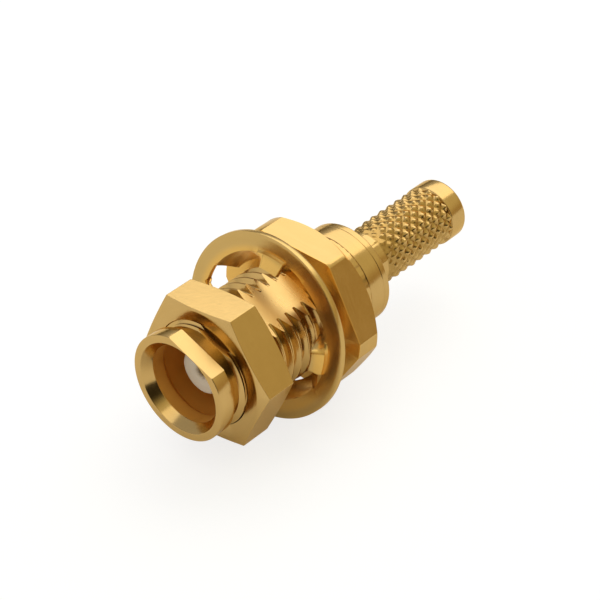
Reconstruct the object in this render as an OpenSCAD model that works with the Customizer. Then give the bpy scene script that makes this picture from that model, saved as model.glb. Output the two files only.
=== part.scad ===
// Bulkhead coaxial crimp jack: a gold plated body with a snap-in socket, a threaded shank with a flat,
// a hexagonal flange and a knurled crimp stem, with its lock washer and nut on the thread.
// The axis lies along Y with the socket towards -Y. The origin is on the axis, in the plane of the
// flange's front face, where the panel seats.

/* [Socket nose] */
// Diameter of the plain ring at the mating end
nose_d = 4.9; // [4.7:0.05:5]
// Length of the plain ring
nose_len = 0.75; // [0.5:0.05:1.2]
// Diameter of the lead-in cone at the front face
lead_d = 4.2; // [3.9:0.05:4.4]
// Depth of the lead-in cone
lead_len = 0.45; // [0.3:0.05:0.7]
// Diameter of the bore that the plug snaps through
socket_d = 3.6; // [3.4:0.05:3.7]
// Depth of the socket, from the front face to its floor
socket_depth = 3.4; // [3:0.1:3.8]
// Distance of the snap chamber behind the bore from the front face
snap_start = 1.05; // [0.9:0.05:1.2]

/* [Threaded shank] */
// Diameter over the thread's crests
thread_d = 5; // [4.9:0.05:5.5]
// Distance from crest to crest
thread_pitch = 0.5; // [0.4:0.05:0.6]
// Length of the threaded stretch
thread_len = 5.35; // [4.5:0.05:8]
// Length of the undercut between the nose ring and the thread
undercut_len = 0.45; // [0.3:0.05:0.8]
// Length of the run-out between the thread and the flange
runout_len = 0.5; // [0.3:0.05:0.8]
// Depth of the undercut and of the run-out below the crests
relief_depth = 0.42; // [0.31:0.01:0.45]
// Wall between the thread's roots and the snap chamber
shank_wall = 0.23; // [0.2:0.01:0.24]
// Depth of the flat below the crests
flat_depth = 0.38; // [0.2:0.02:0.44]
// Direction that the flat faces, from +X towards +Z
flat_turn = 68; // [0:1:359]

/* [Flange] */
// Diameter over the flange's turned corners
flange_d = 7.54; // [7.4:0.02:7.6]
// Width across two of the flange's three pairs of flats
flange_af = 6.64; // [6.4:0.02:6.8]
// Width across the third pair of flats, which is cut less deep
shallow_af = 7.1; // [6.8:0.05:7.3]
// Turn of the flange's flats about the axis
flange_turn = -1.8; // [-5:0.1:5]
// Thickness of the flange
flange_t = 1.57; // [1.2:0.01:2.5]
// Wall of the press collar behind the flange, at its rear end
collar_wall = 0.37; // [0.25:0.01:0.5]
// How much the collar narrows towards the flange, on each side
collar_taper = 0.06; // [0:0.01:0.1]
// Length of the collar
collar_len = 0.98; // [0.6:0.01:1.5]
// Chamfer on the collar's rear edge
collar_edge = 0.04; // [0.02:0.01:0.1]
// Slope of the flange's corners, which are turned off at the rear only
corner_slope = 44; // [30:1:50]
// How far the turned corners reach in from the flats
corner_inset = 0.1; // [0.05:0.01:0.2]

/* [Crimp body] */
// Diameter of the boss behind the collar
boss_d = 4.72; // [4.5:0.02:4.9]
// Length of the boss
boss_len = 1.25; // [0.8:0.05:2]
// Chamfer on the boss's rear edge
boss_chamfer = 0.14; // [0.05:0.01:0.3]
// Diameter of the press spigot that holds the crimp body in the collar
spigot_d = 4; // [3.6:0.05:4.2]
// Length of the press spigot
spigot_len = 2.2; // [1.4:0.05:2.3]
// Diameter of the plain neck of the stem
neck_d = 2.62; // [2.4:0.02:2.64]
// Length of the plain neck
neck_len = 1.15; // [0.6:0.05:2]
// Diameter at the roots of the knurl
knurl_root_d = 2.66; // [2.65:0.01:2.75]
// Height of the knurl's pyramids
knurl_height = 0.12; // [0.05:0.01:0.16]
// Spacing of the pyramids along the stem
knurl_pitch = 0.565; // [0.4:0.005:0.8]
// Rows of pyramids along the stem
knurl_rows = 8; // [5:1:12]
// Pyramids around the stem
knurl_count = 16; // [12:1:24]
// Diameter of the plain ring at the end of the stem
tip_d = 2.88; // [2.8:0.02:3]
// Length of the plain ring
tip_len = 1; // [0.6:0.05:1.5]
// Diameter of the bore that takes the cable's dielectric
cable_bore_d = 1.7; // [1.5:0.05:1.9]
// Chamfer on the edges of the stem's end
tip_chamfer = 0.1; // [0.05:0.01:0.2]
// Diameter of the chamber around the contact's barrel
chamber_d = 2.6; // [2.2:0.05:2.8]
// Length of the chamber
chamber_len = 1.6; // [1.3:0.05:2]

/* [Insulator and contact] */
// Diameter of the insulator's front tube
tube_d = 2.1; // [1.9:0.05:2.3]
// Distance of the insulator's front face below the nose
tube_recess = 1.4; // [1:0.05:2.4]
// Thickness of the wall at the bottom of the socket
web_t = 0.5; // [0.3:0.05:0.8]
// Diameter of the insulator's rear bush
bush_d = 3.2; // [3:0.05:3.3]
// Diameter of the contact's spring socket
contact_d = 1; // [0.8:0.05:1.2]
// Diameter of the contact's rear barrel
barrel_d = 1.3; // [1.25:0.05:1.5]
// Length of the barrel inside the insulator
barrel_grip = 1.8; // [1:0.1:2.5]
// Length of the barrel behind the insulator
barrel_tail = 1.2; // [0.6:0.1:2]
// Diameter of the hole for the plug's pin
pin_d = 0.52; // [0.4:0.02:0.6]
// Depth of the hole for the plug's pin
pin_depth = 2.2; // [1.5:0.1:3]
// Width of the cross slots in the spring socket
slot_w = 0.12; // [0.08:0.02:0.2]
// Length of the cross slots
slot_len = 1.6; // [1:0.1:2]
// Diameter of the cable conductor's hole in the barrel
wire_d = 0.65; // [0.5:0.05:0.8]
// Depth of the cable conductor's hole
wire_depth = 1.8; // [1:0.1:2]
// Diameter of the inspection hole in the barrel
peep_d = 0.4; // [0.2:0.05:0.5]
// Thickness of the insulator's lip in front of the contact
lip_t = 0.2; // [0.1:0.05:0.3]
// Diameter of the hole in the lip
lip_d = 0.86; // [0.84:0.02:0.9]

/* [Nut] */
// Width across the nut's flats
nut_af = 6.15; // [5.8:0.05:7]
// Thickness of the nut
nut_t = 1.75; // [1.2:0.05:2.2]
// Distance from the nose to the nut's front face, as the nut sits
nut_from_nose = 1.5; // [1.4:0.05:2.5]
// Turn of the nut about the axis, as it sits
nut_turn = 5.5; // [0:0.5:59]
// How far the nut hangs below the axis by its play on the thread
nut_drop = 0.06; // [0:0.01:0.07]
// Slope of the nut's turned corners
nut_slope = 14; // [10:1:30]
// Lead-in at both ends of the nut's bore
nut_lead = 0.12; // [0.05:0.01:0.2]

/* [Lock washer] */
// Outer diameter of the washer
washer_d = 8.4; // [8:0.1:10]
// Width of the washer's ring outside the teeth
ring_w = 0.7; // [0.5:0.05:0.8]
// Thickness of the washer's sheet
washer_t = 0.25; // [0.2:0.01:0.3]
// Number of teeth
tooth_count = 4; // [3:1:6]
// Share of its half sector that the front half of a tooth fills at the tip, before the notch
front_share = 0.64; // [0.55:0.01:0.7]
// Share of its half sector that the rear half of a tooth fills at the tip
rear_share = 0.89; // [0.8:0.01:0.92]
// How far the front half of a tooth is bent out of the sheet, towards the nose
front_lift = 0.42; // [0.3:0.02:0.46]
// How far the rear half of a tooth is bent out of the sheet, towards the flange
rear_lift = 0.8; // [0.5:0.05:0.85]
// Direction of one tooth, from +X towards +Z
tooth_turn = 15; // [-45:1:45]
// Distance of the washer's middle from the flange, as it hangs on the thread
washer_from_flange = 1.65; // [1.5:0.01:1.75]
// Lean of the washer on the thread, its top towards the flange
washer_lean = 7.7; // [0:0.1:8.5]
// How far the washer's middle stands above the axis
washer_lift = 0.16; // [0:0.01:0.16]

/* [Clearances] */
// Radial gap drawn between pieces that are pressed together
press_gap = 0.01; // [0.005:0.005:0.02]
// Radial gap between the thread's crests and the nut
nut_gap = 0.1; // [0.08:0.01:0.15]
// Radial gap between the thread's crests and the washer's teeth
tooth_gap = 0.34; // [0.3:0.01:0.4]

/* [Hidden] */
$fn = 96;
gold = [0.83, 0.66, 0.33];
ptfe = [0.93, 0.92, 0.9];
overcut = 1;

// Heights along the axis, counted from the flange's front face towards the nose
thread_bottom = runout_len;
thread_top = thread_bottom + thread_len;
ring_bottom = thread_top + undercut_len;
nose_top = ring_bottom + nose_len;
socket_floor = nose_top - socket_depth;
web_back = socket_floor - web_t;
flange_back = -flange_t;
collar_back = flange_back - collar_len;
cup_floor = collar_back + spigot_len;
boss_back = collar_back - boss_len;
knurl_len = knurl_rows * knurl_pitch;
knurl_front = boss_back - neck_len;
knurl_back = knurl_front - knurl_len;
tip_back = knurl_back - tip_len;
tube_front = nose_top - tube_recess;
contact_front = tube_front - lip_t - press_gap;
contact_step = cup_floor + barrel_grip;
contact_back = cup_floor - barrel_tail;
nut_front = nose_top - nut_from_nose;
nut_back = nut_front - nut_t;

collar_r = spigot_d / 2 + collar_wall;

// Thread profile: flats of an eighth and a quarter of the pitch, flanks at 60 degrees between them
thread_depth = 0.6134 * thread_pitch;
crest_flat = thread_pitch / 8;
flank_w = thread_depth * tan(30);
groove_count = floor((thread_len - crest_flat) / thread_pitch);
thread_margin = (thread_len - groove_count * thread_pitch) / 2;
thread_r = thread_d / 2;
snap_r = thread_r - thread_depth - shank_wall;
relief_r = thread_r - relief_depth;
flat_dist = thread_r - flat_depth;

// Lock washer's opening: tooth tips and the notches between them, as angles from a tooth's middle
washer_r = washer_d / 2;
washer_root_r = washer_r - ring_w;
tooth_tip_r = thread_r + tooth_gap;
tooth_step = 360 / tooth_count;
half_step = tooth_step / 2;
front_half = half_step * front_share;
rear_half = half_step * rear_share;
twist_start = -front_half / 5;
twist_end = front_half / 3;
steep_side = 10;
sloped_side = 1.6;
sheet_steps = 6;
tooth_marks = [-half_step, -front_half, twist_start, twist_end, rear_half, half_step];
mark_steps = [10, 3, 5, 4, 5];

// A solid turned about the axis from [radius, height] points
module turned(points) {
    rotate_extrude() polygon(points);
}

// Stands the axis along Y, with heights growing towards -Y
module lay_down() {
    rotate([90, 0, 0]) children();
}

// A slab between two parallel flats, facing a turn from +X
module flats(width, turn, reach, bottom, top) {
    rotate([0, 0, turn]) translate([-width / 2, -reach, bottom])
        cube([width, 2 * reach, top - bottom]);
}

// A hexagon between two heights, cut on a turned blank: rims are chamfered where their slope isn't 0
module turned_hexagon(af, third_af, blank_r, rear_slope, front_slope, bottom, top) {
    face_r = af / 2 - corner_inset;
    rear_drop = (blank_r - face_r) * tan(rear_slope);
    front_drop = (blank_r - face_r) * tan(front_slope);
    front_rim = front_slope > 0 ? [[blank_r, top - front_drop], [face_r, top]] : [[blank_r, top]];
    intersection() {
        turned(concat(
            [[0, bottom], [face_r, bottom], [blank_r, bottom + rear_drop]],
            front_rim,
            [[0, top]]
        ));
        flats(af, 90, thread_d, bottom, top);
        flats(af, 30, thread_d, bottom, top);
        flats(third_af, -30, thread_d, bottom, top);
    }
}

// One groove of the thread, from its lower crest edge upwards
function groove_points(bottom) = [
    [thread_r, bottom],
    [thread_r - thread_depth, bottom + flank_w],
    [thread_r - thread_depth, bottom + thread_pitch - crest_flat - flank_w],
    [thread_r, bottom + thread_pitch - crest_flat]
];

// Outline of the shank and nose from the flange to the front face
function shank_points() = concat(
    [[0, 0], [relief_r, 0], [relief_r, thread_bottom - relief_depth / 2]],
    [[thread_r - relief_depth / 2, thread_bottom]],
    [for (i = [0 : groove_count - 1])
        for (p = groove_points(thread_bottom + thread_margin + crest_flat / 2 + i * thread_pitch)) p],
    [[thread_r - relief_depth / 2, thread_top], [relief_r, thread_top + relief_depth / 2]],
    [[relief_r, ring_bottom], [nose_d / 2, ring_bottom], [nose_d / 2, nose_top], [0, nose_top]]
);

// Hollow of the body: socket with its lead-in and snap chamber, web hole, insulator seat and rear cup
function hollow_points() = [
    [0, collar_back - overcut],
    [spigot_d / 2, collar_back - overcut],
    [spigot_d / 2, cup_floor],
    [bush_d / 2, cup_floor],
    [bush_d / 2, web_back],
    [tube_d / 2, web_back],
    [tube_d / 2, socket_floor],
    [snap_r, socket_floor],
    [snap_r, nose_top - snap_start - (snap_r - socket_d / 2)],
    [socket_d / 2, nose_top - snap_start],
    [socket_d / 2, nose_top - lead_len],
    [lead_d / 2, nose_top],
    [lead_d / 2, nose_top + overcut],
    [0, nose_top + overcut]
];

// Turned front body: socket nose, threaded shank with its flat, hexagonal flange and press collar
module front_body() {
    flat_len = nose_top + overcut;
    color(gold) lay_down() difference() {
        union() {
            difference() {
                turned(shank_points());
                rotate([0, 0, flat_turn]) translate([flat_dist, -thread_d, 0])
                    cube([thread_d, 2 * thread_d, flat_len]);
            }
            rotate([0, 0, flange_turn])
                turned_hexagon(flange_af, shallow_af, flange_d / 2, corner_slope, 0, flange_back, 0);
            turned([
                [0, flange_back + flange_t / 2],
                [collar_r - collar_taper, flange_back + flange_t / 2],
                [collar_r - collar_taper, flange_back],
                [collar_r, collar_back + collar_edge],
                [collar_r - collar_edge, collar_back],
                [0, collar_back]
            ]);
        }
        turned(hollow_points());
    }
}

// Radius of a knurl point: peaks and groove crossings alternate, and both end rows lie at the root
function knurl_r(row, column) =
    knurl_root_d / 2 + (row > 0 && row < 2 * knurl_rows && (row + column) % 2 == 0 ? knurl_height : 0);

// Sleeve of diamond pyramids between two crossing sets of helical grooves
module knurl() {
    rows = 2 * knurl_rows;
    columns = 2 * knurl_count;
    points = [for (i = [0 : rows]) for (j = [0 : columns - 1])
        let (a = 360 * j / columns, r = knurl_r(i, j))
            [r * cos(a), r * sin(a), knurl_front - i * knurl_pitch / 2]];
    sides = [for (i = [0 : rows - 1]) for (j = [0 : columns - 1])
        let (a = i * columns + j, b = i * columns + (j + 1) % columns, d = a + columns, e = b + columns)
            each (i + j) % 2 == 0 ? [[a, b, d], [b, e, d]] : [[a, b, e], [a, e, d]]];
    front = [for (j = [columns - 1 : -1 : 0]) j];
    back = [for (j = [0 : columns - 1]) rows * columns + j];
    polyhedron(points, concat(sides, [front, back]));
}

// Turned crimp body: press spigot, boss and the knurled stem that the braid is crimped on
module crimp_body() {
    stem_overlap = knurl_pitch / 8;
    color(gold) lay_down() difference() {
        union() {
            turned([
                [0, cup_floor],
                [spigot_d / 2 - press_gap, cup_floor],
                [spigot_d / 2 - press_gap, collar_back],
                [boss_d / 2, collar_back],
                [boss_d / 2, boss_back + boss_chamfer],
                [boss_d / 2 - boss_chamfer, boss_back],
                [neck_d / 2, boss_back],
                [neck_d / 2, knurl_front - stem_overlap],
                [0, knurl_front - stem_overlap]
            ]);
            knurl();
            turned([
                [0, knurl_back + stem_overlap],
                [tip_d / 2, knurl_back + stem_overlap],
                [tip_d / 2, tip_back + tip_chamfer],
                [tip_d / 2 - tip_chamfer, tip_back],
                [0, tip_back]
            ]);
        }
        turned([
            [0, tip_back - overcut],
            [cable_bore_d / 2 + tip_chamfer, tip_back - overcut],
            [cable_bore_d / 2 + tip_chamfer, tip_back],
            [cable_bore_d / 2, tip_back + tip_chamfer],
            [cable_bore_d / 2, cup_floor - chamber_len],
            [chamber_d / 2, cup_floor - chamber_len],
            [chamber_d / 2, cup_floor + overcut],
            [0, cup_floor + overcut]
        ]);
    }
}

// Moulded insulator: front tube through the web, rear bush against it, and the contact's stepped hole
module insulator() {
    color(ptfe) lay_down() turned([
        [barrel_d / 2 + press_gap, cup_floor],
        [bush_d / 2 - press_gap, cup_floor],
        [bush_d / 2 - press_gap, web_back],
        [tube_d / 2 - press_gap, web_back],
        [tube_d / 2 - press_gap, tube_front],
        [lip_d / 2, tube_front],
        [lip_d / 2, tube_front - lip_t],
        [contact_d / 2 + press_gap, tube_front - lip_t],
        [contact_d / 2 + press_gap, contact_step],
        [barrel_d / 2 + press_gap, contact_step]
    ]);
}

// Turned contact: slotted spring socket in front, barrel with the conductor's hole behind
module centre_contact() {
    color(gold) lay_down() difference() {
        turned([
            [0, contact_back],
            [barrel_d / 2, contact_back],
            [barrel_d / 2, contact_step],
            [contact_d / 2, contact_step],
            [contact_d / 2, contact_front],
            [0, contact_front]
        ]);
        translate([0, 0, contact_front - pin_depth]) cylinder(d = pin_d, h = pin_depth + overcut);
        translate([0, 0, contact_back - overcut]) cylinder(d = wire_d, h = wire_depth + overcut);
        translate([0, 0, contact_back + wire_depth / 2]) rotate([0, 90, 0])
            cylinder(d = peep_d, h = barrel_d);
        for (a = [0, 90])
            rotate([0, 0, a]) translate([-slot_w / 2, -contact_d, contact_front - slot_len])
                cube([slot_w, 2 * contact_d, slot_len + overcut]);
    }
}

// Radius of the washer's opening at an angle from a tooth's middle: a notch has a steep and a sloped side
function opening_r(a) =
    let (tip = a < 0 ? front_half : rear_half)
        let (u = max(0, (abs(a) - tip) / (half_step - tip)))
            tooth_tip_r + (washer_root_r - tooth_tip_r) * (1 - pow(1 - u, a < 0 ? steep_side : sloped_side));

// Rise of the sheet at a radius and an angle: nothing on the ring, one half of a tooth to each side
function twist_rise(r, a) =
    let (reach = max(0, (washer_root_r - r) / (washer_root_r - tooth_tip_r)))
        let (turned_over = min(1, max(0, (a - twist_start) / (twist_end - twist_start))))
            reach * (front_lift - (front_lift + rear_lift) * turned_over);

// Internal-tooth lock washer: a flat ring whose wide teeth are twisted, one half towards each side
module lock_washer() {
    turns = [for (k = [0 : len(mark_steps) - 1]) for (i = [0 : mark_steps[k] - 1])
        tooth_marks[k] + (tooth_marks[k + 1] - tooth_marks[k]) * i / mark_steps[k]];
    columns = tooth_count * len(turns);
    stations = sheet_steps + 1;
    layer = columns * stations;
    points = [for (side = [-1, 1]) for (tooth = [0 : tooth_count - 1]) for (a = turns)
        for (j = [0 : sheet_steps])
            let (inner = opening_r(a), r = inner + (washer_r - inner) * j / sheet_steps)
                let (turn = tooth * tooth_step + a)
                    [r * cos(turn), r * sin(turn), twist_rise(r, a) + side * washer_t / 2]];
    faces = [for (c = [0 : columns - 1])
        let (a = c * stations, b = (c + 1) % columns * stations, m = sheet_steps)
            each concat(
                [for (j = [0 : m - 1]) each [
                    [layer + a + j, layer + b + j, layer + b + j + 1],
                    [layer + a + j, layer + b + j + 1, layer + a + j + 1],
                    [a + j, b + j + 1, b + j],
                    [a + j, a + j + 1, b + j + 1]]],
                [[layer + b, layer + a, a], [layer + b, a, b]],
                [[layer + a + m, layer + b + m, b + m], [layer + a + m, b + m, a + m]])];
    color(gold) lay_down() translate([0, washer_lift, washer_from_flange]) rotate([-washer_lean, 0, 0])
        rotate([0, 0, tooth_turn]) polyhedron(points, faces);
}

// Hexagonal nut with turned corners at both ends
module hex_nut() {
    bore_r = thread_r + nut_gap;
    blank_r = nut_af / 2 / cos(30) + corner_inset;
    color(gold) lay_down() translate([0, -nut_drop, 0]) rotate([0, 0, nut_turn]) difference() {
        turned_hexagon(nut_af, nut_af, blank_r, nut_slope, nut_slope, nut_back, nut_front);
        turned([
            [0, nut_back - overcut],
            [bore_r + nut_lead, nut_back - overcut],
            [bore_r + nut_lead, nut_back],
            [bore_r, nut_back + nut_lead],
            [bore_r, nut_front - nut_lead],
            [bore_r + nut_lead, nut_front],
            [bore_r + nut_lead, nut_front + overcut],
            [0, nut_front + overcut]
        ]);
    }
}

front_body();
crimp_body();
insulator();
centre_contact();
lock_washer();
hex_nut();
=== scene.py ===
import math

import bmesh
import bpy
from mathutils import Matrix, Vector


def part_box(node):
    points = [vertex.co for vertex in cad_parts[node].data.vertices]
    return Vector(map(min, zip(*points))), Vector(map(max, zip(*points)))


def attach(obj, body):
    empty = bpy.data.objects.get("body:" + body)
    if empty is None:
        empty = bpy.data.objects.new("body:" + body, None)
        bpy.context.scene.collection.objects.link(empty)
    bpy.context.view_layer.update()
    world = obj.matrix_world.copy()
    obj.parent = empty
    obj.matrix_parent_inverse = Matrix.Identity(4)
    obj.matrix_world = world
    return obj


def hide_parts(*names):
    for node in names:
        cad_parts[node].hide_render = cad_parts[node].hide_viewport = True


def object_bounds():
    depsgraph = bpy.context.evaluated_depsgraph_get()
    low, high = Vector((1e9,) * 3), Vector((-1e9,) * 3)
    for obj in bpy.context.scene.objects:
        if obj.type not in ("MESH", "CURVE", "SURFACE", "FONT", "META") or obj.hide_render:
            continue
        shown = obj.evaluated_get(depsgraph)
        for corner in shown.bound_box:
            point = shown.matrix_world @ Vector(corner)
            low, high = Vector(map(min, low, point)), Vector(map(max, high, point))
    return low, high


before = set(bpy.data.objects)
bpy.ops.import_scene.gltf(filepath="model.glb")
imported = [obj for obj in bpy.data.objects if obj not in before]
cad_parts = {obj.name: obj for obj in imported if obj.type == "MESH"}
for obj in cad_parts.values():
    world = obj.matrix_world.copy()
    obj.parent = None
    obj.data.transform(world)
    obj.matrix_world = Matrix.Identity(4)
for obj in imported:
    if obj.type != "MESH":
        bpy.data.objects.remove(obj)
cad_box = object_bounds()

# Front body: the jack's main brass turning, with the socket nose, the threaded shank and its flat, the
# flange and the press collar in one piece. It is cut on a lathe, so its edges keep a small tool radius,
# the thread is a right-hand helix, and the whole is plated with bright gold.
MM = 0.001
SWEEP = 160
NEAR = 1e-8

# Sizes are in millimetres, and MM turns them into the frame's metres.
body_low, body_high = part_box("front_body")
nose_y = body_low.y / MM
collar_end = body_high.y / MM
nose_r, nose_len = 2.45, 0.75
lead_r, lead_len = 2.1, 0.45
socket_r, socket_depth = 1.8, 3.4
snap_r, snap_start = 1.963, 1.05
web_len, tube_seat_r, bush_seat_r = 0.5, 1.05, 1.6
thread_r, thread_pitch, thread_depth = 2.5, 0.5, 0.28
thread_front, thread_back = -5.78, -0.5
relief_r, thread_chamfer, chamfer_len = 2.08, 0.3, 0.2
flat_turn, flat_reach = math.radians(68), 2.12
flange_len, flange_r, flange_turn = 1.57, 3.77, -1.8
flange_half, shallow_half, flange_chamfer = 3.32, 3.55, 0.2
corner_slope, corner_inset, cone_y, cone_off = math.radians(43), 0.1, 1.915, 0.35
cone_reach = 6.0
collar_r, collar_taper, cup_r, cup_len = 2.37, 0.06, 2.0, 2.2
seam_r, seam_depth, seam_ragged, seam_seed = 2.3, 0.06, 0.018, 3
crisp, eased, relief_round = 0.03, 0.05, 0.06
edge_round, edge_angle = 0.035, 12
overcut, flare, thread_spare = 1.0, 0.3, 0.2


def select_by(piece, kind, test):
    """In edit mode, selects just the vertices, edges or faces that pass the test."""
    bpy.ops.mesh.select_mode(type={"verts": "VERT", "edges": "EDGE", "faces": "FACE"}[kind])
    bpy.ops.mesh.select_all(action="DESELECT")
    mesh = bmesh.from_edit_mesh(piece.data)
    for element in getattr(mesh, kind):
        element.select_set(bool(test(element)))
    mesh.select_flush_mode()
    bmesh.update_edit_mesh(piece.data)


def draw_profile(name, points, corner_steps=4):
    """A chain of edges through [radius, y] points in millimetres, extruded from one vertex in edit mode.

    A third number rounds that corner off over so many millimetres on both sides.
    A chain that doesn't start on the axis is closed.
    """
    bpy.ops.object.select_all(action="DESELECT")
    bpy.ops.mesh.primitive_plane_add(size=MM)
    piece = bpy.context.active_object
    piece.name = name
    bpy.ops.object.mode_set(mode="EDIT")
    bpy.ops.mesh.select_mode(type="VERT")
    bpy.ops.mesh.select_all(action="SELECT")
    bpy.ops.mesh.merge(type="CENTER")
    places = [Vector((point[0], point[1], 0)) * MM for point in points]
    bpy.ops.transform.translate(value=places[0])
    for before, after in zip(places, places[1:]):
        bpy.ops.mesh.extrude_vertices_move(TRANSFORM_OT_translate={"value": after - before})
    if points[0][0] > 0:
        select_by(piece, "verts", lambda v: len(v.link_edges) == 1)
        bpy.ops.mesh.edge_face_add()
    for edge in sorted({point[2] for point in points if len(point) == 3}):
        corners = [place for place, point in zip(places, points) if point[2:] == (edge,)]
        select_by(piece, "verts", lambda v: any((v.co - corner).length < NEAR for corner in corners))
        bpy.ops.mesh.bevel(affect="VERTICES", offset=edge * MM, segments=corner_steps)
    return piece


def close_up(piece):
    """Merges doubles, turns the faces outwards and leaves edit mode."""
    bpy.ops.mesh.select_all(action="SELECT")
    bpy.ops.mesh.remove_doubles(threshold=NEAR)
    bpy.ops.mesh.normals_make_consistent(inside=False)
    bpy.ops.object.mode_set(mode="OBJECT")
    return piece


def turned(name, points, steps=SWEEP):
    """A solid turned about the Y axis from a profile."""
    piece = draw_profile(name, points)
    bpy.ops.mesh.select_all(action="SELECT")
    bpy.ops.mesh.spin(steps=steps, angle=math.tau, center=(0, 0, 0), axis=(0, 1, 0), use_auto_merge=True)
    return close_up(piece)


def slice_off(place, outward):
    """In edit mode, cuts off all that lies beyond a plane, and fills the cut."""
    bpy.ops.mesh.select_all(action="SELECT")
    bpy.ops.mesh.bisect(
        plane_co=place, plane_no=outward, use_fill=True, clear_outer=True, threshold=NEAR
    )


def threaded(name, crest_r, root_r, pitch, front, back):
    """A right-handed screw thread, made longer than it is asked for and cut off square at both ends."""
    crest, root = pitch / 8, pitch / 4
    crest_round, root_round = 0.02, 0.03
    flank = (pitch - crest - root) / 2
    turns = math.ceil((back - front) / pitch) + 2
    start = front - 1.5 * pitch
    points = [
        (crest_r, 0), (crest_r, crest / 2, crest_round),
        (root_r, crest / 2 + flank, root_round), (root_r, crest / 2 + flank + root, root_round),
        (crest_r, pitch - crest / 2, crest_round), (crest_r, pitch),
    ]
    bottom = [(0, start)] + [(radius, start + y, *edge) for radius, y, *edge in points]
    piece = draw_profile(name, bottom)
    select_by(piece, "verts", lambda v: v.co.x < NEAR)
    bpy.ops.mesh.delete(type="VERT")
    bpy.ops.object.mode_set(mode="OBJECT")
    screw = piece.modifiers.new("helix", "SCREW")
    screw.axis = "Y"
    screw.angle = math.tau
    screw.screw_offset = pitch * MM
    screw.iterations = turns
    screw.steps = screw.render_steps = SWEEP
    screw.use_merge_vertices = True
    screw.merge_threshold = NEAR
    bpy.ops.object.modifier_apply(modifier=screw.name)
    bpy.ops.object.mode_set(mode="EDIT")
    slice_off((0, front * MM, 0), (0, -1, 0))
    slice_off((0, back * MM, 0), (0, 1, 0))
    return close_up(piece)


def combine(piece, tool, operation):
    """Joins, cuts or trims a piece with a tool body, which is then gone."""
    change = piece.modifiers.new("combine", "BOOLEAN")
    change.operation = operation
    change.solver = "MANIFOLD"
    change.object = tool
    bpy.context.view_layer.objects.active = piece
    bpy.ops.object.modifier_apply(modifier=change.name)
    bpy.data.objects.remove(tool)


def cut_flats(piece, flats):
    """Cuts pairs of flats on a blank, each given as its turn about Y in degrees and its half width."""
    bpy.context.view_layer.objects.active = piece
    bpy.ops.object.mode_set(mode="EDIT")
    for turn, half in flats:
        for side in (turn, turn + 180):
            outward = Vector((math.cos(math.radians(side)), 0, math.sin(math.radians(side))))
            slice_off(outward * half * MM, outward)
    close_up(piece)


def soften(piece, width, angle):
    """Rounds all edges sharper than an angle in degrees."""
    bevel = piece.modifiers.new("soften", "BEVEL")
    bevel.width = width * MM
    bevel.segments = 2
    bevel.limit_method = "ANGLE"
    bevel.angle_limit = math.radians(angle)
    bpy.context.view_layer.objects.active = piece
    bpy.ops.object.modifier_apply(modifier=bevel.name)


def smooth(piece, angle=30):
    """Smooth shading that keeps flat faces flat and edges sharper than an angle crisp."""
    bpy.ops.object.select_all(action="DESELECT")
    piece.select_set(True)
    bpy.context.view_layer.objects.active = piece
    bpy.ops.object.shade_smooth_by_angle(angle=math.radians(angle))
    weighted = piece.modifiers.new("weighted", "WEIGHTED_NORMAL")
    weighted.keep_sharp = True
    weighted.weight = 90
    bpy.ops.object.modifier_apply(modifier=weighted.name)


class Tone:
    """A shader socket that can stand in a Python expression: each operator adds one Math node."""

    def __init__(self, tree, socket=None):
        self.tree = tree
        self.socket = socket

    def node(self, kind, settings, sockets, output=0):
        """Adds any node: its settings first, then the values or links of its sockets."""
        made = self.tree.nodes.new(kind)
        for name, value in settings.items():
            setattr(made, name, value)
        for name, value in sockets.items():
            if isinstance(value, Tone):
                self.tree.links.new(value.socket, made.inputs[name])
            else:
                made.inputs[name].default_value = value
        return Tone(self.tree, made.outputs[output] if made.outputs else None)

    def twin(self, output):
        """Another output of the same node."""
        return Tone(self.tree, self.socket.node.outputs[output])

    def math(self, operation, first, second):
        return self.node("ShaderNodeMath", {"operation": operation}, {0: first, 1: second})

    def __add__(self, other):
        return self.math("ADD", self, other)

    def __sub__(self, other):
        return self.math("SUBTRACT", self, other)

    def __rsub__(self, other):
        return self.math("SUBTRACT", other, self)

    def __mul__(self, other):
        return self.math("MULTIPLY", self, other)

    def __pow__(self, other):
        return self.math("POWER", self, other)

    __radd__ = __add__
    __rmul__ = __mul__


def blank_material(name):
    """A material with an empty node tree, and the tone that its nodes are added from."""
    material = bpy.data.materials.new(name)
    material.use_nodes = True
    material.node_tree.nodes.clear()
    return material, Tone(material.node_tree)


def blend(tone, factor, first, second):
    """Mixes two colours."""
    return tone.node(
        "ShaderNodeMix", {"data_type": "RGBA"}, {"Factor": factor, 6: first, 7: second}, 2
    )


def noise(tone, place, scale, detail):
    """Noise of about so many features per metre."""
    return tone.node(
        "ShaderNodeTexNoise", {}, {"Vector": place, "Scale": scale, "Detail": detail, "Roughness": 0.55}
    )


def ramp(tone, value, start, end):
    """A smooth step from 0 to 1 between two values."""
    return tone.node(
        "ShaderNodeMapRange", {"interpolation_type": "SMOOTHSTEP"}, {"Value": value, 1: start, 2: end}
    )


MICRON = 1e-6


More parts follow.
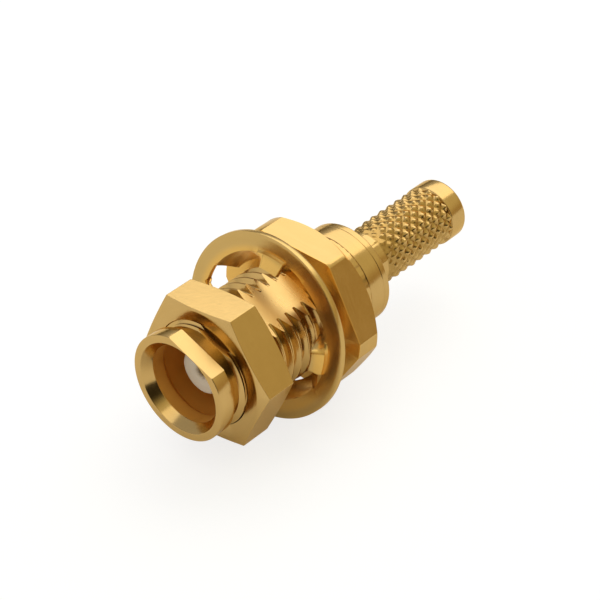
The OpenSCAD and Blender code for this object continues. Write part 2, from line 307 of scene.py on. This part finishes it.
def gold_plating(
    name, pale, deep, roughness, ring_depth, grain_depth, mottle_depth=0.0, places=(), metal=1.0
):
    """Bright gold over turned brass: tool rings round the axis, fine grain, soft mottling, slow tones.

    The depths are in micrometres. Each of the places gives a mask, the colour there, the roughness
    that it adds and the metal look that it takes off.
    """
    material, tone = blank_material(name)
    place = tone.node("ShaderNodeTexCoord", {}, {}, "Object")
    x = tone.node("ShaderNodeSeparateXYZ", {}, {"Vector": place})
    y, z = x.twin("Y"), x.twin("Z")
    radius = (x * x + z * z) ** 0.5
    across = tone.node("ShaderNodeCombineXYZ", {}, {"X": radius, "Y": y})
    rings = noise(tone, across, scale=14000, detail=3)
    wide_rings = noise(tone, across, scale=2600, detail=2)
    grain = noise(tone, place, scale=16000, detail=3)
    mottle = noise(tone, place, scale=4500, detail=2)
    clouds = noise(tone, place, scale=900, detail=3)
    streaks = rings * 0.35 + wide_rings * 0.3 + clouds * 0.35
    colour = blend(tone, streaks, (*deep, 1), (*pale, 1))
    gloss = roughness + (rings - 0.5) * 0.08 + (clouds - 0.5) * 0.1 + (grain - 0.5) * 0.06
    for mask_of, tint, extra_roughness, less_metal in places:
        mask = mask_of(tone, place, y, radius)
        colour = blend(tone, mask, colour, (*tint, 1))
        gloss = gloss + mask * extra_roughness
        if less_metal:
            metal = metal - mask * less_metal
    height = rings * ring_depth + wide_rings * (ring_depth * 1.5)
    height = height + grain * grain_depth + mottle * mottle_depth
    bump = tone.node("ShaderNodeBump", {}, {"Strength": 1.0, "Distance": MICRON, "Height": height})
    shader = tone.node("ShaderNodeBsdfPrincipled", {}, {
        "Base Color": colour, "Metallic": metal, "Roughness": gloss, "Normal": bump,
        "Specular Tint": (1.0, 0.86, 0.62, 1),
    })
    tone.node("ShaderNodeOutputMaterial", {}, {"Surface": shader})
    return material


def socket_wall_painted_glow(tone, place, y, radius):
    """The bored wall of the socket, behind the lead-in. The wall is dull and rough, and its deeper orange
    is a painted glow of light bounced inside the bore.
    """
    clear_r, wall_r, lead_end, wall_start = 1.99, 1.97, -6.62, -6.58
    inside = ramp(tone, radius, clear_r * MM, wall_r * MM)
    return inside * ramp(tone, y, lead_end * MM, wall_start * MM)


def on_flat(tone, place, y, radius):
    """The milled flat along the nose and the shank."""
    below, level, flange_side, shank_side = 2.1, 2.118, -0.02, -0.1
    reach = tone.node(
        "ShaderNodeVectorMath", {"operation": "DOT_PRODUCT"}, {0: place, 1: flat_outward}, "Value"
    )
    return ramp(tone, reach, below * MM, level * MM) * ramp(tone, y, flange_side * MM, shank_side * MM)


def flange_front_painted_glow(tone, place, y, radius):
    """The flange's front face, in the shade of the washer, painted a brighter orange as a glow of light
    bounced between the two.
    """
    off, close, shank_edge, open_face = 0.05, 0.02, 2.6, 2.7
    near = ramp(tone, y, -off * MM, -close * MM) * ramp(tone, y, off * MM, close * MM)
    return near * ramp(tone, radius, shank_edge * MM, open_face * MM)


def fit(piece, name, material, body, node):
    """Names a finished piece, gives it its finish and puts it on its body in the node's place."""
    piece.name = name
    piece.data.name = name
    piece.data.materials.clear()
    piece.data.materials.append(material)
    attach(piece, body)
    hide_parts(node)


front_body = threaded(
    "shank", thread_r, thread_r - thread_depth, thread_pitch,
    thread_front - thread_spare, thread_back + thread_spare,
)
thread_blank = turned("thread_blank", [
    (0, thread_front), (thread_r - thread_chamfer, thread_front),
    (thread_r + thread_chamfer, thread_front + 2 * chamfer_len),
    (thread_r + thread_chamfer, thread_back - 2 * chamfer_len),
    (thread_r - thread_chamfer, thread_back), (0, thread_back),
])
combine(front_body, thread_blank, "INTERSECT")
nose = turned("nose", [
    (0, nose_y), (nose_r, nose_y, edge_round), (nose_r, nose_y + nose_len, crisp),
    (relief_r, nose_y + nose_len, relief_round), (relief_r, flange_len / 2), (0, flange_len / 2),
])
combine(front_body, nose, "UNION")
bpy.context.view_layer.objects.active = front_body
bpy.ops.object.mode_set(mode="EDIT")
flat_outward = Vector((math.cos(flat_turn), 0, math.sin(flat_turn)))
slice_off(flat_outward * flat_reach * MM, flat_outward)
close_up(front_body)
flange = turned("flange", [
    (0, 0), (flange_r, 0), (flange_r, flange_len - flange_chamfer),
    (flange_r - flange_chamfer, flange_len), (0, flange_len),
])
cut_flats(flange, [
    (90 + flange_turn, flange_half), (30 + flange_turn, flange_half), (-30 + flange_turn, shallow_half),
])
rear_cone = turned("rear_cone", [
    (0, -overcut), (cone_reach, -overcut),
    (cone_reach, cone_y - (cone_reach - flange_half) * math.tan(corner_slope)),
    (flange_half - corner_inset, cone_y + corner_inset * math.tan(corner_slope)),
    (0, cone_y + corner_inset * math.tan(corner_slope)),
])
bpy.ops.object.mode_set(mode="EDIT")
bpy.ops.mesh.select_all(action="SELECT")
bpy.ops.transform.translate(value=(-cone_off * MM, 0, -cone_off * MM))
bpy.ops.object.mode_set(mode="OBJECT")
combine(flange, rear_cone, "INTERSECT")
soften(flange, edge_round, edge_angle)
combine(front_body, flange, "UNION")
collar = turned("collar", [
    (0, flange_len / 2), (collar_r - collar_taper, flange_len / 2),
    (collar_r - collar_taper, flange_len), (collar_r, collar_end, eased), (0, collar_end),
])


def on_seam(vertex):
    """Whether a vertex lies on the collar's rear rim, which the pressing has left a little ragged."""
    across = vertex.co.x ** 2 + vertex.co.z ** 2
    return vertex.co.y > (collar_end - seam_depth) * MM and across > (seam_r * MM) ** 2


bpy.ops.object.mode_set(mode="EDIT")
select_by(collar, "verts", on_seam)
bpy.ops.transform.vertex_random(offset=seam_ragged * MM, seed=seam_seed)
bpy.ops.object.mode_set(mode="OBJECT")
combine(front_body, collar, "UNION")
socket_floor = nose_y + socket_depth
hollow = turned("hollow", [
    (0, nose_y - overcut), (lead_r + flare, nose_y - overcut), (lead_r + flare, nose_y - flare),
    (lead_r, nose_y, crisp), (socket_r, nose_y + lead_len, crisp), (socket_r, nose_y + snap_start, crisp),
    (snap_r, nose_y + snap_start + snap_r - socket_r, eased), (snap_r, socket_floor, eased),
    (tube_seat_r, socket_floor, crisp), (tube_seat_r, socket_floor + web_len),
    (bush_seat_r, socket_floor + web_len), (bush_seat_r, collar_end - cup_len),
    (cup_r, collar_end - cup_len), (cup_r, collar_end + overcut), (0, collar_end + overcut),
])
combine(front_body, hollow, "DIFFERENCE")
smooth(front_body)
body_gold = gold_plating(
    "gold_turned_body", pale=(0.66, 0.44, 0.17), deep=(0.52, 0.33, 0.11), roughness=0.17,
    ring_depth=1.2, grain_depth=0.5, mottle_depth=0.5,
    places=[
        # painted glow inside the socket's bore, on a rougher, less metallic wall
        (socket_wall_painted_glow, (0.8, 0.42, 0.08), 0.25, 0.55),
        (on_flat, (0.63, 0.42, 0.16), 0.12, 0),
        # painted glow on the flange's front face behind the washer
        (flange_front_painted_glow, (0.8, 0.48, 0.12), 0.06, 0.18),
    ],
)
fit(front_body, "front_body_turning", body_gold, "jack", "front_body")

# Crimp body: the rear brass turning, pressed into the collar. Its boss is plain, and the stem behind it
# has a diamond knurl, rolled between two plain stretches, that grips the cable's braid under a ferrule.
tip_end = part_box("crimp_body")[1].y / MM
boss_r, boss_len, boss_chamfer = 2.36, 1.25, 0.08
boss_end = collar_end + boss_len
mark_y, mark_half, mark_depth = boss_end - 0.38, 0.02, 0.012
neck_r, neck_len, neck_fillet = 1.31, 1.15, 0.08
knurl_r, knurl_height, knurl_pitch, knurl_rows, knurl_count = 1.27, 0.34, 0.565, 8, 16
knurl_fade, knurl_low, knurl_uneven, knurl_seed = 1.5, 0.25, 0.06, 7
knurl_crease, knurl_sink, knurl_smooth = 0.55, 0.7, 22
knurl_start = boss_end + neck_len
knurl_end = knurl_start + knurl_rows * knurl_pitch
core_r, core_front, core_back = 1.28, knurl_start + 0.1, knurl_end - 0.04
tip_r, tip_front, tip_chamfer, tip_round = 1.44, knurl_end + 0.02, 0.1, 0.04
cable_r, chamber_r, chamber_len = 0.85, 1.3, 1.6
spigot_play, spigot_front = 0.01, collar_end - cup_len


def diamond_knurl(name):
    """A rolled knurl: a tube of diamond faces, each poked out to a pyramid with a blunt, uneven tip."""
    front, back = knurl_start - knurl_pitch / 2, knurl_end + knurl_pitch / 2
    length, rim_near = back - front, 0.1
    bpy.ops.object.select_all(action="DESELECT")
    bpy.ops.mesh.primitive_cylinder_add(
        vertices=knurl_count, radius=knurl_r * MM, depth=length * MM, end_fill_type="NOTHING",
        location=(0, (front + length / 2) * MM, 0), rotation=(math.pi / 2, 0, 0),
    )
    piece = bpy.context.active_object
    piece.name = name
    bpy.ops.object.transform_apply(location=True, rotation=True, scale=True)
    bpy.ops.object.mode_set(mode="EDIT")
    select_by(piece, "edges", lambda e: abs(e.verts[0].co.y - e.verts[1].co.y) > length / 2 * MM)
    bpy.ops.mesh.subdivide(number_cuts=knurl_rows)
    grid = len(bmesh.from_edit_mesh(piece.data).verts)
    bpy.ops.mesh.select_all(action="SELECT")
    bpy.ops.mesh.poke()
    mesh = bmesh.from_edit_mesh(piece.data)
    for vertex in mesh.verts:
        around = Vector((vertex.co.x, 0, vertex.co.z)).normalized() * knurl_r * MM
        vertex.co = Vector((around.x, vertex.co.y, around.z))
    select_by(piece, "edges", lambda e: max(v.index for v in e.verts) < grid and not e.is_boundary)
    bpy.ops.mesh.dissolve_edges(use_verts=False)
    corners = len(bmesh.from_edit_mesh(piece.data).verts)
    select_by(piece, "faces", lambda f: len(f.verts) == 4)
    bpy.ops.mesh.poke(offset=knurl_height * MM)
    mesh = bmesh.from_edit_mesh(piece.data)
    mesh.verts.ensure_lookup_table()
    for vertex in mesh.verts[corners:]:
        into = min(1, max(0, (vertex.co.y / MM - front) / knurl_fade))
        base = Vector((vertex.co.x, 0, vertex.co.z)).normalized() * knurl_r * MM
        base.y = vertex.co.y
        vertex.co = base + (vertex.co - base) * (knurl_low + (1 - knurl_low) * into)
    select_by(piece, "verts", lambda v: v.index >= corners)
    bpy.ops.transform.vertex_random(offset=knurl_uneven * MM, seed=knurl_seed)
    select_by(piece, "edges", lambda e: max(v.index for v in e.verts) >= corners)
    bpy.ops.transform.edge_crease(value=knurl_crease)
    for end in (front, back):
        select_by(piece, "edges", lambda e: e.is_boundary and abs(e.verts[0].co.y / MM - end) < rim_near)
        bpy.ops.mesh.extrude_edges_move()
        bpy.ops.transform.resize(value=(knurl_sink, 1, knurl_sink), center_override=(0, 0, 0))
        bpy.ops.mesh.edge_face_add()
    close_up(piece)
    rounding = piece.modifiers.new("rounding", "SUBSURF")
    rounding.levels = rounding.render_levels = 2
    bpy.ops.object.modifier_apply(modifier=rounding.name)
    return piece


crimp_body = turned("crimp_turning", [
    (0, spigot_front), (cup_r - spigot_play, spigot_front, eased), (cup_r - spigot_play, collar_end),
    (boss_r, collar_end, eased), (boss_r, mark_y - mark_half), (boss_r - mark_depth, mark_y),
    (boss_r, mark_y + mark_half), (boss_r, boss_end - boss_chamfer, crisp),
    (boss_r - boss_chamfer, boss_end, crisp), (neck_r, boss_end, neck_fillet), (neck_r, core_front),
    (core_r, core_front), (core_r, core_back), (tip_r, tip_front, crisp),
    (tip_r, tip_end - tip_chamfer, eased), (tip_r - tip_chamfer, tip_end, tip_round), (0, tip_end),
])
knurl = diamond_knurl("knurl")
combine(crimp_body, knurl, "UNION")
cable_hole = turned("cable_hole", [
    (0, spigot_front - overcut), (chamber_r, spigot_front - overcut),
    (chamber_r, spigot_front + chamber_len), (cable_r, spigot_front + chamber_len),
    (cable_r, tip_end - tip_chamfer, tip_round), (cable_r + tip_chamfer, tip_end, crisp),
    (cable_r + tip_chamfer + flare, tip_end + flare), (0, tip_end + flare),
])
combine(crimp_body, cable_hole, "DIFFERENCE")
smooth(crimp_body, knurl_smooth)


def knurl_valleys_painted_shade(tone, place, y, radius):
    """The valleys of the knurl, painted darker as shade, where the plating is also a little rougher."""
    last, full, shoulder_r, valley_r = knurl_end - 0.05, knurl_end - 0.15, 1.4, 1.33
    along = ramp(tone, y, knurl_start * MM, core_front * MM) * ramp(tone, y, last * MM, full * MM)
    return along * ramp(tone, radius, shoulder_r * MM, valley_r * MM)


stem_gold = gold_plating(
    "gold_turned_stem", pale=(0.66, 0.44, 0.17), deep=(0.5, 0.32, 0.11), roughness=0.18,
    ring_depth=1.4, grain_depth=0.8, mottle_depth=0.5,
    # painted shade in the knurl's valleys
    places=[(knurl_valleys_painted_shade, (0.42, 0.26, 0.08), 0.04, 0)],
)
fit(crimp_body, "crimp_body_turning", stem_gold, "jack", "crimp_body")

# Insulator: a turned bush of white fluoropolymer, pushed in from behind against the web, whose front
# tube stands in the socket. It is waxy, lets a little light in and keeps faint tool rings.
tube_front, tube_r, bush_r, fit_play = nose_y + 1.4, 1.05, 1.6, 0.01
lip_r, lip_len, lip_round, face_round = 0.29, 0.2, 0.16, 0.14
contact_seat_r, barrel_seat_r, barrel_seat_len = 0.51, 0.66, 1.8
web_back = socket_floor + web_len
contact_step = spigot_front - barrel_seat_len
insulator = turned("insulator_bush", [
    (lip_r, tube_front, lip_round), (tube_r - fit_play, tube_front, face_round),
    (tube_r - fit_play, web_back), (bush_r - fit_play, web_back, eased),
    (bush_r - fit_play, spigot_front, eased), (barrel_seat_r, spigot_front, eased),
    (barrel_seat_r, contact_step), (contact_seat_r, contact_step),
    (contact_seat_r, tube_front + lip_len), (lip_r, tube_front + lip_len, crisp),
])
smooth(insulator)


def waxy_white(name):
    """White fluoropolymer: milky, softly glossy, with slow clouds and faint rings from the tool."""
    material, tone = blank_material(name)
    place = tone.node("ShaderNodeTexCoord", {}, {}, "Object")
    x = tone.node("ShaderNodeSeparateXYZ", {}, {"Vector": place})
    y, z = x.twin("Y"), x.twin("Z")
    radius = (x * x + z * z) ** 0.5
    across = tone.node("ShaderNodeCombineXYZ", {}, {"X": radius, "Y": y})
    rings = noise(tone, across, scale=9000, detail=2)
    clouds = noise(tone, place, scale=1800, detail=3)
    colour = blend(tone, clouds * 0.6 + rings * 0.4, (0.7, 0.63, 0.53, 1), (0.86, 0.8, 0.7, 1))
    gloss = 0.4 + (clouds - 0.5) * 0.15
    bump = tone.node("ShaderNodeBump", {}, {"Strength": 1.0, "Distance": MICRON, "Height": rings * 1.5})
    shader = tone.node("ShaderNodeBsdfPrincipled", {}, {
        "Base Color": colour, "Roughness": gloss, "Normal": bump,
        "Subsurface Weight": 0.3, "Subsurface Radius": (0.9, 0.85, 0.8), "Subsurface Scale": 0.0003,
    })
    tone.node("ShaderNodeOutputMaterial", {}, {"Surface": shader})
    return material


insulator_white = waxy_white("fluoropolymer_white")
fit(insulator, "insulator_turning", insulator_white, "jack", "insulator")

# Centre contact: a slotted spring socket for the plug's pin, with a solder barrel behind, turned from
# brass and plated with gold. It sits in the insulator's stepped hole behind the lip.
contact_low, contact_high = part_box("centre_contact")
contact_front, contact_back = contact_low.y / MM, contact_high.y / MM
spring_r, spring_round, pin_r, pin_depth, pin_point = 0.5, 0.06, 0.26, 2.2, 0.12
barrel_r, barrel_round, wire_r, wire_depth, wire_point = 0.65, 0.04, 0.325, 1.8, 0.15
slot_w, slot_len, peep_r, contact_sweep, peep_sides = 0.12, 1.6, 0.2, 96, 32
contact = turned("contact_turning", [
    (0, contact_front + pin_depth), (pin_r, contact_front + pin_depth - pin_point),
    (pin_r, contact_front, spring_round), (spring_r, contact_front, spring_round),
    (spring_r, contact_step), (barrel_r, contact_step, barrel_round), (barrel_r, contact_back, eased),
    (wire_r, contact_back, eased), (wire_r, contact_back - wire_depth),
    (0, contact_back - wire_depth - wire_point),
], contact_sweep)


def block(size, place, turn):
    """A box for cutting, turned about Y."""
    bpy.ops.object.select_all(action="DESELECT")
    bpy.ops.mesh.primitive_cube_add(
        size=MM, location=[side * MM for side in place], rotation=(0, turn, 0), scale=size
    )
    bpy.ops.object.transform_apply(location=True, rotation=True, scale=True)
    return bpy.context.active_object


for turn in (0, math.pi / 2):
    slot = block((slot_w, 2 * slot_len, 4 * spring_r), (0, contact_front, 0), turn)
    combine(contact, slot, "DIFFERENCE")
bpy.ops.object.select_all(action="DESELECT")
bpy.ops.mesh.primitive_cylinder_add(
    vertices=peep_sides, radius=peep_r * MM, depth=barrel_r * MM,
    location=(barrel_r * MM, (contact_back - wire_depth / 2) * MM, 0), rotation=(0, math.pi / 2, 0),
)
combine(contact, bpy.context.active_object, "DIFFERENCE")
smooth(contact)
contact_gold = gold_plating(
    "gold_contact", pale=(0.7, 0.48, 0.2), deep=(0.55, 0.36, 0.13), roughness=0.2,
    ring_depth=1.0, grain_depth=0.5,
)
fit(contact, "centre_contact_turning", contact_gold, "jack", "centre_contact")

# Lock washer: a ring stamped from thin spring sheet with four teeth twisted out of its plane, plated
# with gold. It hangs loose on the thread and leans, and its cut edges are barely rounded.
washer_r, washer_root_r, washer_t = 4.2, 3.4, 0.25
tooth_count, tooth_tip_r, front_share, rear_share = 4, 2.84, 0.64, 0.89
front_lift, rear_lift = 0.42, 0.7
tooth_turn, washer_lean = math.radians(15), math.radians(7.7)
washer_y, washer_lift = -1.65, 0.16
sloped_side, fold_share, fold_rise = 1.6, 0.14, 0.4
cut_angle, washer_smooth = 50, 40
washer_columns, outer_rings, inner_rings = 720, 4, 8
washer_rings = outer_rings + inner_rings
tooth_step = math.tau / tooth_count
half_step = tooth_step / 2
front_half, rear_half = half_step * front_share, half_step * rear_share
twist_before, twist_after = 0.4, 0.15
twist_start, twist_end = -front_half * twist_before, front_half * twist_after


def opening_radius(angle):
    """Radius of the washer's opening at an angle from a tooth's middle: a sheared and a sloped side."""
    if angle < -front_half:
        return washer_root_r
    into_notch = max(0, (angle - rear_half) / (half_step - rear_half))
    return tooth_tip_r + (washer_root_r - tooth_tip_r) * (1 - (1 - into_notch) ** sloped_side)


def grid_place(vertex):
    """The ring of a vertex of the flat grid, and its angle from the middle of its tooth."""
    ring = round(2 * (1 - vertex.co.length / (washer_r * MM)) * washer_rings)
    turn = math.atan2(vertex.co.y, vertex.co.x)
    return ring, (turn + half_step + NEAR) % tooth_step - half_step


def in_notch(face):
    """Whether a face of the flat grid lies in the sheared notch before a tooth."""
    places = [grid_place(vertex) for vertex in face.verts]
    turns = [turn for ring, turn in places]
    return min(places)[0] >= outer_rings and min(turns) < -front_half and max(turns) < 0


bpy.ops.object.select_all(action="DESELECT")
bpy.ops.mesh.primitive_circle_add(vertices=washer_columns, radius=washer_r * MM, fill_type="NOTHING")
washer = bpy.context.active_object
bpy.ops.object.mode_set(mode="EDIT")
bpy.ops.mesh.select_all(action="SELECT")
for ring in range(washer_rings):
    bpy.ops.mesh.extrude_edges_move()
    shrink = 1 - 1 / (2 * washer_rings - ring)
    bpy.ops.transform.resize(value=(shrink, shrink, 1), center_override=(0, 0, 0))
select_by(washer, "faces", in_notch)
bpy.ops.mesh.delete(type="FACE")
mesh = bmesh.from_edit_mesh(washer.data)
for vertex in mesh.verts:
    ring, from_tooth = grid_place(vertex)
    turn = math.atan2(vertex.co.y, vertex.co.x)
    outer_share = min(1, ring / outer_rings)
    bend = max(0, ring - outer_rings) / inner_rings
    radius = washer_r + (washer_root_r - washer_r) * outer_share
    radius = radius + (opening_radius(from_tooth) - washer_root_r) * bend
    bend = (washer_root_r - radius) / (washer_root_r - tooth_tip_r) if bend else 0
    turned_over = min(1, max(0, (from_tooth - twist_start) / (twist_end - twist_start)))
    fold = min(1, bend / fold_share)
    step_up = fold_rise * fold * fold * (3 - 2 * fold) + (1 - fold_rise) * bend
    rise = step_up * front_lift * (1 - turned_over) - bend * rear_lift * turned_over
    vertex.co = Vector((radius * math.cos(turn), radius * math.sin(turn), rise)) * MM
bmesh.update_edit_mesh(washer.data)
close_up(washer)
sheet = washer.modifiers.new("sheet", "SOLIDIFY")
sheet.thickness = washer_t * MM
sheet.offset = 0
bpy.ops.object.modifier_apply(modifier=sheet.name)
soften(washer, crisp, cut_angle)
washer.matrix_world = (
    Matrix.Translation((0, washer_y * MM, washer_lift * MM))
    @ Matrix.Rotation(math.pi / 2 - washer_lean, 4, "X")
    @ Matrix.Rotation(tooth_turn, 4, "Z")
)
bpy.ops.object.select_all(action="DESELECT")
washer.select_set(True)
bpy.ops.object.transform_apply(location=True, rotation=True, scale=True)
smooth(washer, washer_smooth)


def opening_painted_glow(tone, place, y, radius):
    """The ring's inner zone and the teeth, in the shade of the shank, painted a warmer orange as a glow
    of light bounced off the gold around them.
    """
    ring_clear, ring_shaded, tooth_clear, tooth_shaded = 3.85, 3.5, 2.9, 3.2
    on_ring = ramp(tone, radius, ring_clear * MM, ring_shaded * MM)
    return on_ring * ramp(tone, radius, tooth_clear * MM, tooth_shaded * MM)


washer_gold = gold_plating(
    "gold_stamped_washer", pale=(0.66, 0.45, 0.17), deep=(0.54, 0.35, 0.115), roughness=0.24,
    ring_depth=0.3, grain_depth=0.6, mottle_depth=1.0,
    # painted glow on the washer's inner zone and teeth
    places=[(opening_painted_glow, (0.8, 0.49, 0.13), 0.0, 0.12)], metal=0.95,
)
fit(washer, "lock_washer_stamping", washer_gold, "jack", "lock_washer")

# Hex nut: turned and tapped from brass bar and plated with gold, with its corners turned off at both
# ends. It runs on the shank's thread and hangs by its play a little below the axis.
nut_low, nut_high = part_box("hex_nut")
nut_front, nut_back = nut_low.y / MM, nut_high.y / MM
nut_half, nut_turn, nut_drop, nut_slope = 3.075, 5.5, 0.06, math.radians(14)
tap_play, nut_mouth_r, mouth_spare, mouth_round = 0.08, 2.45, 0.05, 0.04
hex_turns = (90, 30, -30)
nut_blank_r = nut_half / math.cos(math.radians(30)) + corner_inset
nut_face_r = nut_half - corner_inset
nut_rim = (nut_blank_r - nut_face_r) * math.tan(nut_slope)
nut = turned("nut_blank", [
    (0, nut_front), (nut_face_r, nut_front), (nut_blank_r, nut_front + nut_rim),
    (nut_blank_r, nut_back - nut_rim), (nut_face_r, nut_back), (0, nut_back),
])
cut_flats(nut, [(turn + nut_turn, nut_half) for turn in hex_turns])
soften(nut, crisp, edge_angle)
tap_r = thread_r + tap_play
tap = threaded(
    "tap", tap_r, tap_r - thread_depth, thread_pitch,
    thread_front - thread_spare, thread_back + thread_spare,
)
combine(nut, tap, "DIFFERENCE")
mouth_len = nut_mouth_r - tap_r + thread_depth + mouth_spare
flare_r = nut_mouth_r + flare
countersinks = turned("countersinks", [
    (0, nut_front - overcut), (flare_r, nut_front - overcut), (flare_r, nut_front - flare),
    (nut_mouth_r, nut_front, mouth_round), (nut_mouth_r - mouth_len, nut_front + mouth_len),
    (nut_mouth_r - mouth_len, nut_back - mouth_len), (nut_mouth_r, nut_back, mouth_round),
    (flare_r, nut_back + flare), (flare_r, nut_back + overcut), (0, nut_back + overcut),
])
combine(nut, countersinks, "DIFFERENCE")
bpy.ops.object.mode_set(mode="EDIT")
bpy.ops.mesh.select_all(action="SELECT")
bpy.ops.transform.translate(value=(0, 0, -nut_drop * MM))
close_up(nut)
smooth(nut)
nut_gold = gold_plating(
    "gold_hex_nut", pale=(0.67, 0.45, 0.175), deep=(0.53, 0.34, 0.115), roughness=0.2,
    ring_depth=0.5, grain_depth=1.2, mottle_depth=3.0,
)
fit(nut, "hex_nut_turning", nut_gold, "nut", "hex_nut")

# Studio: a pale floor just under the washer's rim, a large soft box above and behind, a smaller one
# above and in front, dim walls, and the camera at the height and side from which the jack is seen.
floor_z, floor_gap, floor_size = cad_box[0].z, 0.02, 3
seen_glow, mirrored_glow = 0.78, 0.14
bpy.ops.object.select_all(action="DESELECT")
bpy.ops.mesh.primitive_plane_add(size=floor_size, location=(0, 0, floor_z - floor_gap * MM))
floor = bpy.context.active_object
floor.name = "floor"
floor_finish, tone = blank_material("pale_floor")
path = tone.node("ShaderNodeLightPath", {}, {})
mirrored = path.twin("Is Glossy Ray") + path.twin("Is Transmission Ray")
floor_place = tone.node("ShaderNodeTexCoord", {}, {}, "Object")
unevenness = noise(tone, floor_place, scale=40, detail=2)
seen_tone = blend(tone, unevenness, (0.28, 0.28, 0.28, 1), (0.3, 0.3, 0.3, 1))
mirrored_tone = blend(tone, unevenness, (0.84, 0.83, 0.82, 1), (0.88, 0.87, 0.86, 1))
matt = tone.node("ShaderNodeBsdfDiffuse", {}, {"Color": blend(tone, path, mirrored_tone, seen_tone)})
strength = path * seen_glow + mirrored * mirrored_glow
glow = tone.node("ShaderNodeEmission", {}, {"Color": (1, 1, 1, 1), "Strength": strength})
both = tone.node("ShaderNodeAddShader", {}, {0: matt, 1: glow})
tone.node("ShaderNodeOutputMaterial", {}, {"Surface": both})
floor.data.materials.append(floor_finish)

world = bpy.data.worlds.new("dim_walls")
bpy.context.scene.world = world
world.use_nodes = True
world.node_tree.nodes.clear()
tone = Tone(world.node_tree)
towards = tone.node("ShaderNodeTexCoord", {}, {}, "Generated")
to_right = tone.node("ShaderNodeSeparateXYZ", {}, {"Vector": towards})
to_back, upwards = to_right.twin("Y"), to_right.twin("Z")
cool_wall, warm_low, warm_high = (0.5, 0.51, 0.54, 1), (0.5, 0.37, 0.17, 1), (0.76, 0.69, 0.42, 1)
shade, dark_corner, window = (0.14, 0.12, 0.08, 1), (0.035, 0.03, 0.02, 1), (0.95, 0.93, 0.87, 1)
warm_wall = blend(tone, ramp(tone, upwards, 0.05, 0.5), warm_low, warm_high)
walls = blend(tone, ramp(tone, to_right, -0.5, 0.6), cool_wall, warm_wall)
low_left = ramp(tone, upwards, 0.35, 0.05) * ramp(tone, to_right, -0.2, -0.6)
walls = blend(tone, low_left * ramp(tone, to_back, 0.1, 0.4), walls, shade)
to_corner = to_right * 0.88 - to_back * 0.47
walls = blend(tone, ramp(tone, to_corner, 0.55, 0.9), walls, dark_corner)
to_window = to_right * -0.55 - to_back * 0.83
walls = blend(tone, ramp(tone, to_window, 0.8, 0.95), walls, window)
backdrop = tone.node("ShaderNodeBackground", {}, {"Color": walls, "Strength": 1.0})
tone.node("ShaderNodeOutputWorld", {}, {"Surface": backdrop})


def soft_box(name, place, aim, width, height, radiance):
    """A rectangular soft light of an even brightness, aimed at a point."""
    lamp = bpy.data.lights.new(name, "AREA")
    lamp.shape = "RECTANGLE"
    lamp.size, lamp.size_y = width, height
    lamp.energy = radiance * math.pi * width * height
    light = bpy.data.objects.new(name, lamp)
    bpy.context.scene.collection.objects.link(light)
    light.location = place
    light.rotation_euler = (Vector(aim) - Vector(place)).to_track_quat("-Z", "Y").to_euler()


soft_box("back_box", (-0.13, 0.30, 0.43), aim=(0, 0, 0), width=0.66, height=0.5, radiance=1.36)
soft_box("front_box", (0.0, -0.23, 0.45), aim=(0, 0, 0), width=0.26, height=0.26, radiance=0.8)

camera_data = bpy.data.cameras.new("camera")
camera_data.sensor_width, camera_data.lens = 36, 120
camera = bpy.data.objects.new("camera", camera_data)
bpy.context.scene.collection.objects.link(camera)
bpy.context.scene.camera = camera
camera_aim = Vector((1.303, -0.963, 1.703)) * MM
camera_turn, camera_rise, camera_far = math.radians(40.70), math.radians(36.24), 83 * MM
camera_back = Vector((
    math.sin(camera_turn) * math.cos(camera_rise),
    -math.cos(camera_turn) * math.cos(camera_rise),
    math.sin(camera_rise),
))
camera.location = camera_aim + camera_back * camera_far
camera.rotation_euler = (-camera_back).to_track_quat("-Z", "Y").to_euler()
camera_data.clip_start, camera_data.clip_end = 0.001, 10

bpy.context.scene.view_settings.view_transform = "Standard"
